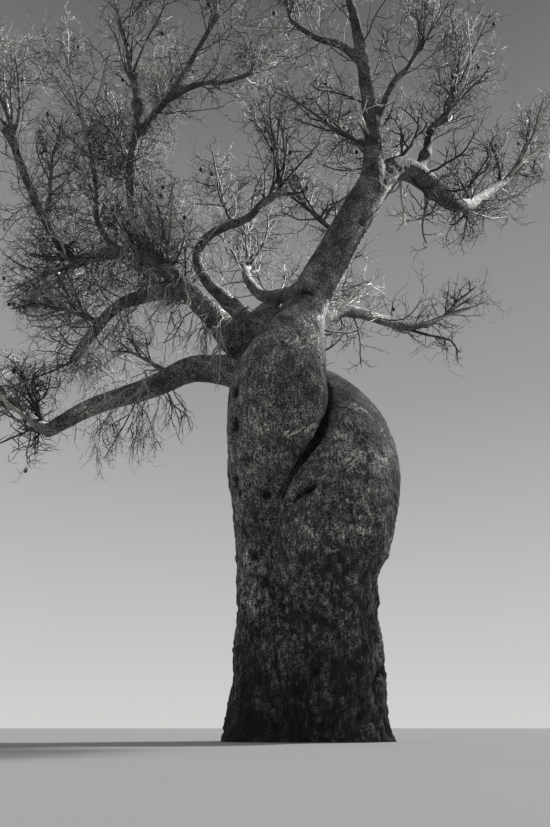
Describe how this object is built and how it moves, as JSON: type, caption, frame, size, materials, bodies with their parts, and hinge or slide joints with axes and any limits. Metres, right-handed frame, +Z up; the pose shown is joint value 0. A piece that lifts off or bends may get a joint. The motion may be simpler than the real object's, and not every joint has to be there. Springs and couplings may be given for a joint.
{
  "type": "baobab tree",
  "caption": "Whole leafless baobab: two swollen stems wound round each other, heavy crooked boughs and a wide crown of bare twigs with a few hanging fruits.",
  "frame": {"origin": "on the level ground, at the middle of the foot, on the flat cut under the stems", "axes": "+Z up; +X to the right and +Y away for someone who faces the side where the stems cross"},
  "size_m": [17.7311, 12.9281, 19.831],
  "materials": {
    "stem_bark": "matt grey-brown bark, lumpy and dark low down, smoother and paler above",
    "bough_bark": "matt pale grey bark with fine rings and warts",
    "bare_twigs": "matt grey bare twigs"
  },
  "bodies": {
    "root": {"left_stem": "stem_bark", "right_stem": "stem_bark", "leaning_bough": "bough_bark", "upright_bough": "bough_bark", "right_bough": "bough_bark", "far_right_bough": "bough_bark", "right_riser": "bough_bark", "right_back_bough": "bough_bark", "top_left_bough": "bough_bark", "top_right_bough": "bough_bark", "low_right_bough": "bough_bark", "low_left_bough": "bough_bark", "left_bough": "bough_bark", "arch_bough": "bough_bark", "far_left_bough": "bough_bark", "far_left_riser": "bough_bark", "left_riser": "bough_bark", "upper_left_bough": "bough_bark", "inner_riser": "bough_bark", "reaching_bough": "bough_bark", "inner_left_bough": "bough_bark", "curved_bough": "bough_bark", "back_left_bough": "bough_bark", "back_right_bough": "bough_bark", "left_back_bough": "bough_bark", "twigs_low_left": "bare_twigs", "twigs_over_low_left": "bare_twigs", "twigs_weeping": "bare_twigs", "twigs_weeping_outer": "bare_twigs", "twigs_arch": "bare_twigs", "twigs_far_left_side": "bare_twigs", "twigs_far_left": "bare_twigs", "twigs_left_riser": "bare_twigs", "twigs_left_tangle": "bare_twigs", "twigs_inner_tangle": "bare_twigs", "twigs_upper_left": "bare_twigs", "twigs_upper_left_side": "bare_twigs", "twigs_inner_riser": "bare_twigs", "twigs_inner_side": "bare_twigs", "twigs_reaching": "bare_twigs", "twigs_curved": "bare_twigs", "twigs_curved_side": "bare_twigs", "twigs_back_left": "bare_twigs", "twigs_low_right": "bare_twigs", "twigs_upright": "bare_twigs", "twigs_top_left": "bare_twigs", "twigs_top_right": "bare_twigs", "twigs_right_riser": "bare_twigs", "twigs_far_right": "bare_twigs", "twigs_right_side": "bare_twigs", "twigs_right_back": "bare_twigs", "twigs_back_right": "bare_twigs", "twigs_left_back": "bare_twigs", "twigs_far_left_inner": "bare_twigs", "twigs_leaning": "bare_twigs", "twigs_low_right_side": "bare_twigs", "twigs_upright_side": "bare_twigs"}
  },
  "joints": []
}
